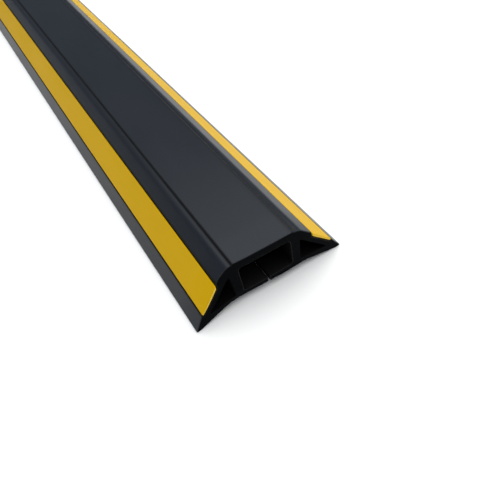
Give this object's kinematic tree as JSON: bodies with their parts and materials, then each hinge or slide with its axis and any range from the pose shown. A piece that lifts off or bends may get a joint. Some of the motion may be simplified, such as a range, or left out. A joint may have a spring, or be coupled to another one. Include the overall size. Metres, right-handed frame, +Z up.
{
  "type": "floor cord cover",
  "caption": "Straight length of black floor cord cover with a flat deck, a slit cable channel between hollow ramps, and a yellow strip laid into each flank.",
  "frame": {"origin": "on the floor under the middle of the cover: half way along it and half way across it", "axes": "+X along the length, towards the end that the picture shows; +Y across the cover; +Z up, away from the floor"},
  "size_m": [1, 0.068, 0.024],
  "materials": {
    "black_soft_pvc": "satin black, smooth from the die",
    "yellow_soft_pvc": "satin warning yellow, smooth from the die"
  },
  "bodies": {
    "root": {"cover_body": "black_soft_pvc", "yellow_strip_left": "yellow_soft_pvc", "yellow_strip_right": "yellow_soft_pvc"}
  },
  "joints": []
}
